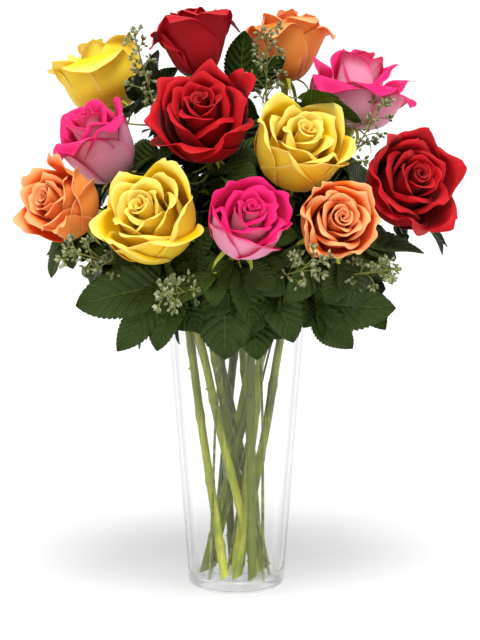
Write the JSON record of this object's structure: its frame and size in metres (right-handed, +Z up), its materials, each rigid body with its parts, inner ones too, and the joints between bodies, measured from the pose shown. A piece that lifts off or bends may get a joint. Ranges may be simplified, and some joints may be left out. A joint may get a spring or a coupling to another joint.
{
  "type": "roses in a vase",
  "caption": "Bouquet of long-stemmed roses with leaves and seeded eucalyptus sprigs standing in a tall tapered clear glass vase.",
  "frame": {"origin": "centre of the vase's underside, which stands on the surface", "axes": "+Z up along the vase, -Y to the bouquet's front, +X to the front viewer's right"},
  "size_m": [0.336, 0.2578, 0.4668],
  "materials": {
    "clear_glass": "clear and polished",
    "stem_green": "waxy, semi-matte",
    "leaf_green": "leathery, semi-matte",
    "seed_green": "dry and matte",
    "petals_red": "velvety petals",
    "petals_yellow": "satin petals",
    "petals_orange": "satin petals",
    "petals_pink": "satin petals"
  },
  "bodies": {
    "root": {"vase": "clear_glass", "stem_orange_left": "stem_green", "calyx_orange_left": "stem_green", "bloom_orange_left": "petals_orange", "stem_pink_left": "stem_green", "calyx_pink_left": "stem_green", "bloom_pink_left": "petals_pink", "stem_yellow_top_left": "stem_green", "calyx_yellow_top_left": "stem_green", "bloom_yellow_top_left": "petals_yellow", "stem_red_top": "stem_green", "calyx_red_top": "stem_green", "bloom_red_top": "petals_red", "stem_orange_top": "stem_green", "calyx_orange_top": "stem_green", "bloom_orange_top": "petals_orange", "stem_pink_top_right": "stem_green", "calyx_pink_top_right": "stem_green", "bloom_pink_top_right": "petals_pink", "stem_red_right": "stem_green", "calyx_red_right": "stem_green", "bloom_red_right": "petals_red", "stem_orange_low_right": "stem_green", "calyx_orange_low_right": "stem_green", "bloom_orange_low_right": "petals_orange", "stem_pink_low_centre": "stem_green", "calyx_pink_low_centre": "stem_green", "bloom_pink_low_centre": "petals_pink", "stem_yellow_low_left": "stem_green", "calyx_yellow_low_left": "stem_green", "bloom_yellow_low_left": "petals_yellow", "stem_yellow_right_centre": "stem_green", "calyx_yellow_right_centre": "stem_green", "bloom_yellow_right_centre": "petals_yellow", "stem_red_centre": "stem_green", "calyx_red_centre": "stem_green", "bloom_red_centre": "petals_red", "leaf_low_left": "leaf_green", "leaf_front_left": "leaf_green", "leaf_front_centre": "leaf_green", "leaf_front_right": "leaf_green", "leaf_low_right": "leaf_green", "leaf_right": "leaf_green", "leaf_left": "leaf_green", "leaf_centre_left": "leaf_green", "leaf_centre": "leaf_green", "leaf_top_left": "leaf_green", "leaf_top_centre": "leaf_green", "leaf_upper_right": "leaf_green", "leaf_back_left": "leaf_green", "leaf_back_right": "leaf_green", "leaf_back_low": "leaf_green", "leaf_back_top": "leaf_green", "sprig_left": "seed_green", "sprig_front_left": "seed_green", "sprig_front_right": "seed_green", "sprig_right": "seed_green", "sprig_top_left": "seed_green", "sprig_top_right": "seed_green", "sprig_mid_right": "seed_green"}
  },
  "joints": []
}
